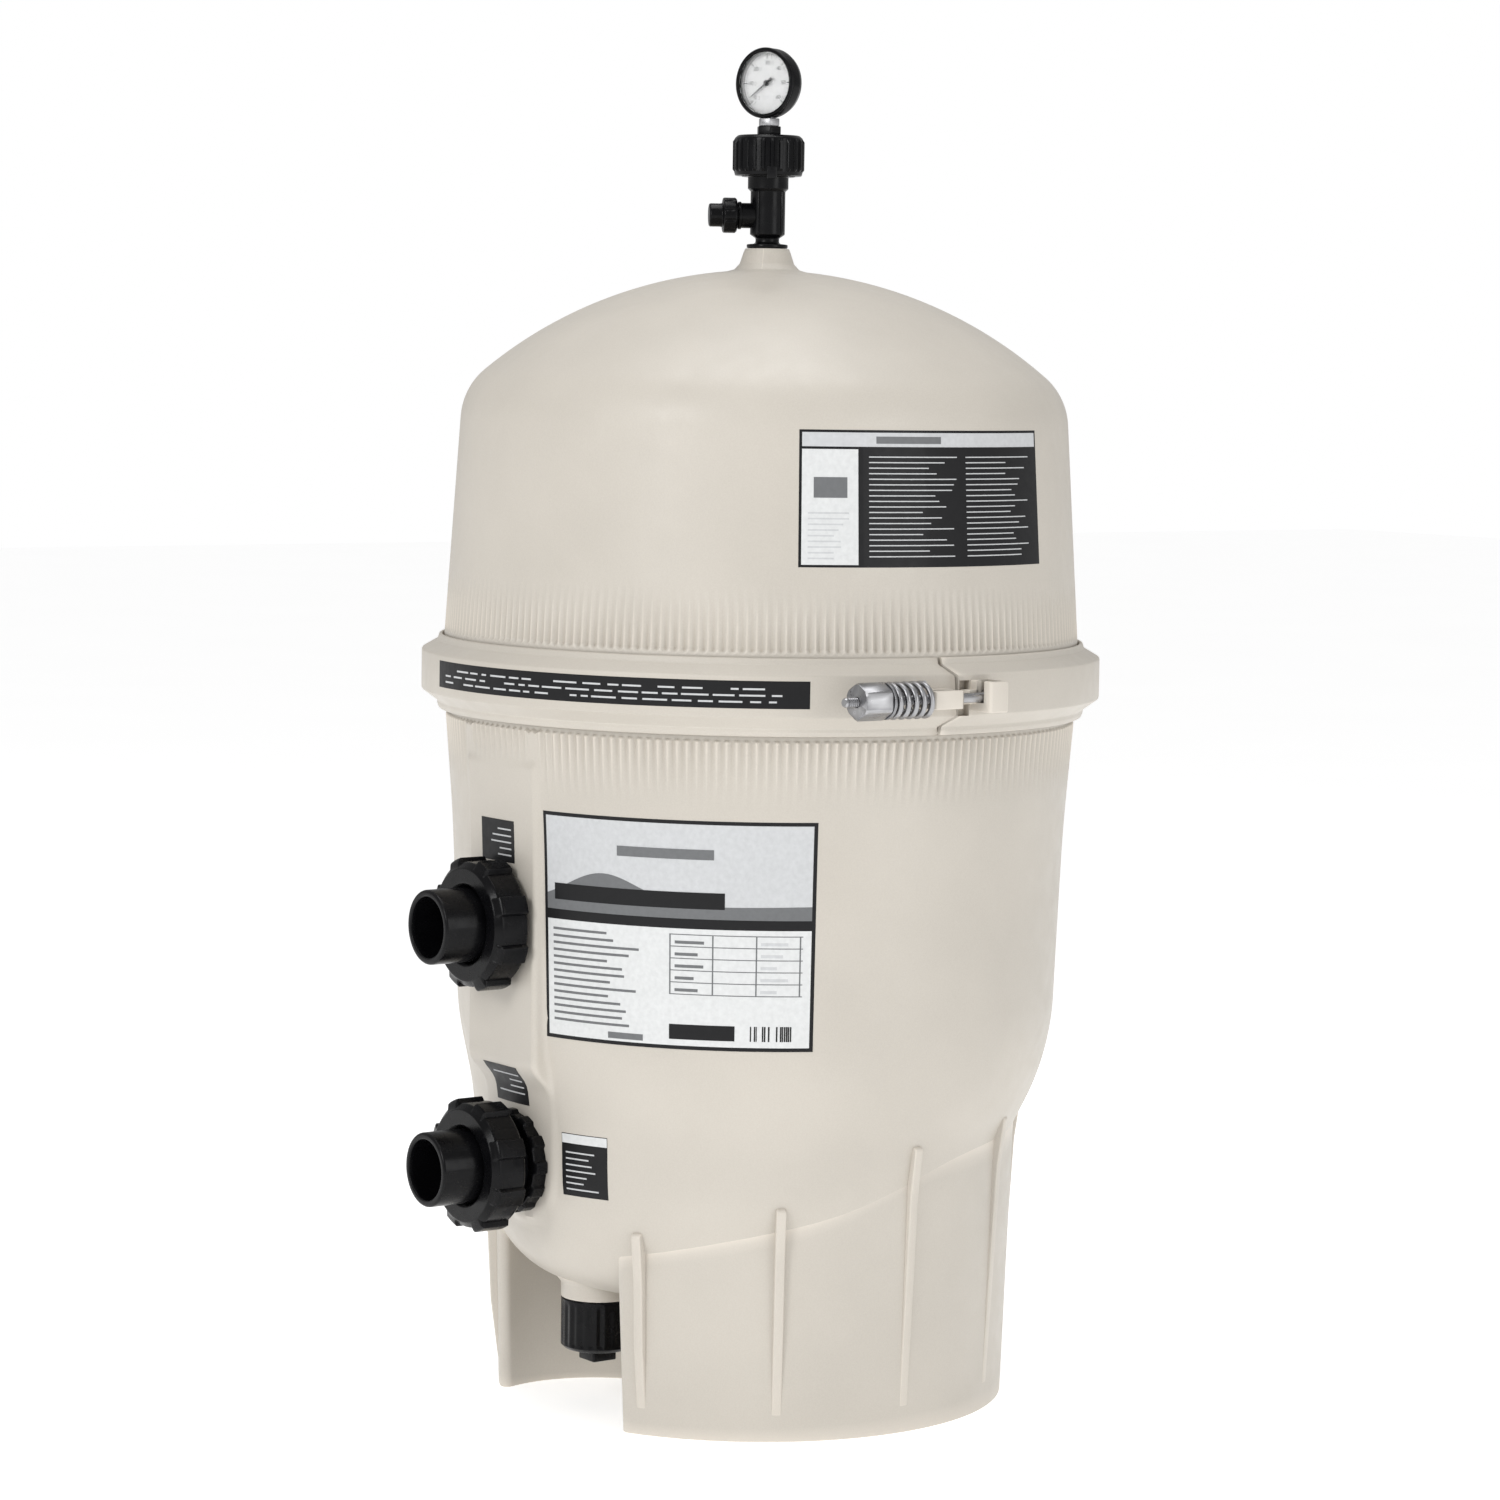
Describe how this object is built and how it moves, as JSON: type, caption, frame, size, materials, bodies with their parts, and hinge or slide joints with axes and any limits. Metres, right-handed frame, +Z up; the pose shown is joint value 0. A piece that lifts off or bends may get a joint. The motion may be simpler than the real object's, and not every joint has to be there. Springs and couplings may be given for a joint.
{
  "type": "cartridge filter housing",
  "caption": "Tall domed water filter tank in two shells with a hinged clamp ring, pleated cartridges, two side union ports, a drain and a gauge valve on top.",
  "frame": {"origin": "on the tank's axis, in the plane of the floor that the skirt stands on", "axes": "+Z up along the tank axis; both pipe ports point along -X; the clamp closes on the -Y side and hinges on the +Y side"},
  "size_m": [0.6077, 0.6089, 1.1199],
  "materials": {
    "almond_shell": "satin, lightly textured moulding",
    "black_pvc": "gloss",
    "zinc_steel": "zinc plated",
    "black_rubber": "matt",
    "filter_fabric": "spun polyester",
    "cartridge_blue": "satin",
    "dial_white": "printed",
    "gauge_glass": "clear",
    "label_print": "printed film"
  },
  "bodies": {
    "tank": {"tank_lower": "almond_shell", "base_skirt": "almond_shell", "tank_o_ring": "black_rubber", "clamp_hinge_pin": "zinc_steel", "inlet_bulkhead": "black_pvc", "inlet_gasket": "black_rubber", "inlet_lock_nut": "black_pvc", "inlet_union_o_ring": "black_rubber", "inlet_diffuser": "black_pvc", "outlet_bulkhead": "black_pvc", "outlet_gasket": "black_rubber", "outlet_lock_nut": "black_pvc", "outlet_union_o_ring": "black_rubber", "outlet_connector": "black_pvc", "bottom_manifold": "black_pvc", "top_manifold": "black_pvc", "air_bleed_tube": "black_pvc", "air_bleed_screen": "filter_fabric", "cartridge_1_media": "filter_fabric", "cartridge_1_core": "cartridge_blue", "cartridge_1_caps": "cartridge_blue", "cartridge_2_media": "filter_fabric", "cartridge_2_core": "cartridge_blue", "cartridge_2_caps": "cartridge_blue", "cartridge_3_media": "filter_fabric", "cartridge_3_core": "cartridge_blue", "cartridge_3_caps": "cartridge_blue", "cartridge_4_media": "filter_fabric", "cartridge_4_core": "cartridge_blue", "cartridge_4_caps": "cartridge_blue"},
    "lid": {"tank_lid": "almond_shell", "valve_body": "black_pvc", "valve_base_o_ring": "black_rubber"},
    "relief_stem": {"valve_stem": "black_pvc", "stem_o_ring": "black_rubber", "gauge_socket": "zinc_steel", "gauge_case": "black_pvc", "gauge_dial": "dial_white", "gauge_lens": "gauge_glass", "gauge_bezel": "black_pvc"},
    "lock_ring": {"lock_ring": "black_pvc"},
    "gauge_pointer": {"gauge_pointer": "black_pvc"},
    "vent_seal": {"vent_seal": "black_rubber"},
    "vent_cap": {"vent_cap": "black_pvc"},
    "inlet_tail": {"inlet_union_tail": "black_pvc"},
    "inlet_nut": {"inlet_union_nut": "black_pvc"},
    "outlet_tail": {"outlet_union_tail": "black_pvc"},
    "outlet_nut": {"outlet_union_nut": "black_pvc"},
    "drain_seal": {"drain_gasket": "black_rubber"},
    "drain_cap": {"drain_cap": "black_pvc"},
    "clamp_left": {"clamp_left": "almond_shell"},
    "clamp_right": {"clamp_right": "almond_shell"},
    "t_bolt": {"t_bolt": "zinc_steel", "clamp_spring": "zinc_steel"},
    "spring_washer": {"spring_washer": "zinc_steel"},
    "barrel_nut": {"barrel_nut": "zinc_steel"}
  },
  "joints": [
    {"name": "lid_lift", "type": "slide", "parent": "tank", "child": "lid", "axis": [0, 0, 1], "range_m": [0, 0.4]},
    {"name": "stem_rise", "type": "slide", "parent": "lid", "child": "relief_stem", "axis": [0, 0, 1], "range_m": [0, 0.006]},
    {"name": "lock_ring_turn", "type": "hinge", "parent": "relief_stem", "child": "lock_ring", "pos_m": [0, 0, 1.03], "axis": [0, 0, 1], "range_deg": [0, 90.5]},
    {"name": "gauge_pointer_sweep", "type": "hinge", "parent": "relief_stem", "child": "gauge_pointer", "pos_m": [0, 0, 1.0909], "axis": [0.9511, 0.309, 0], "range_deg": [0, 270], "stiffness_Nm_per_rad": 0.00002},
    {"name": "vent_seal_slide", "type": "slide", "parent": "lid", "child": "vent_seal", "axis": [-0.866, 0.5, 0], "range_m": [0, 0.0061]},
    {"name": "vent_cap_turn", "type": "hinge", "parent": "vent_seal", "child": "vent_cap", "pos_m": [0, 0, 0.982], "axis": [-0.866, 0.5, 0], "range_deg": [0, 1440]},
    {"name": "inlet_tail_slide", "type": "slide", "parent": "tank", "child": "inlet_tail", "axis": [-1, 0, 0], "range_m": [0, 0.0141]},
    {"name": "inlet_nut_turn", "type": "hinge", "parent": "inlet_tail", "child": "inlet_nut", "pos_m": [-0.275, 0, 0.4084], "axis": [-1, 0, 0], "range_deg": [0, 1260]},
    {"name": "outlet_tail_slide", "type": "slide", "parent": "tank", "child": "outlet_tail", "axis": [-1, 0, 0], "range_m": [0, 0.0141]},
    {"name": "outlet_nut_turn", "type": "hinge", "parent": "outlet_tail", "child": "outlet_nut", "pos_m": [-0.275, 0, 0.2125], "axis": [-1, 0, 0], "range_deg": [0, 1260]},
    {"name": "drain_seal_slide", "type": "slide", "parent": "tank", "child": "drain_seal", "axis": [0, 0, -1], "range_m": [0, 0.0121]},
    {"name": "drain_cap_turn", "type": "hinge", "parent": "drain_seal", "child": "drain_cap", "pos_m": [-0.1553, 0, 0.06], "axis": [0, 0, -1], "range_deg": [0, 1080]},
    {"name": "clamp_open", "type": "hinge", "parent": "tank", "child": "clamp_left", "pos_m": [0, 0.29, 0.6], "axis": [0, 0, -1], "range_deg": [0, 10]},
    {"name": "clamp_right_open", "type": "hinge", "parent": "tank", "child": "clamp_right", "pos_m": [0, 0.29, 0.6], "axis": [0, 0, 1], "range_deg": [0, 10.1]},
    {"name": "t_bolt_swing", "type": "hinge", "parent": "clamp_right", "child": "t_bolt", "pos_m": [0.0085, -0.295, 0.6034], "axis": [0, 1, 0], "range_deg": [0, 90.1]},
    {"name": "spring_washer_slide", "type": "slide", "parent": "t_bolt", "child": "spring_washer", "axis": [-1, 0, 0], "range_m": [0, 0.0121], "deforming": ["clamp_spring"]},
    {"name": "barrel_nut_turn", "type": "hinge", "parent": "spring_washer", "child": "barrel_nut", "pos_m": [-0.1, -0.295, 0.6034], "axis": [-1, 0, 0], "range_deg": [0, 3060]}
  ],
  "couplings": [
    {"joint": "lock_ring_turn", "follows": "stem_rise", "rad_per_m": 261.8},
    {"joint": "vent_seal_slide", "follows": "vent_cap_turn", "m_per_rad": 0.00023873},
    {"joint": "inlet_tail_slide", "follows": "inlet_nut_turn", "m_per_rad": 0.00063662},
    {"joint": "outlet_tail_slide", "follows": "outlet_nut_turn", "m_per_rad": 0.00063662},
    {"joint": "drain_seal_slide", "follows": "drain_cap_turn", "m_per_rad": 0.00063662},
    {"joint": "clamp_right_open", "follows": "clamp_open", "ratio": 1},
    {"joint": "t_bolt_swing", "follows": "clamp_open", "ratio": 9},
    {"joint": "spring_washer_slide", "follows": "barrel_nut_turn", "m_per_rad": 0.00022457}
  ]
}
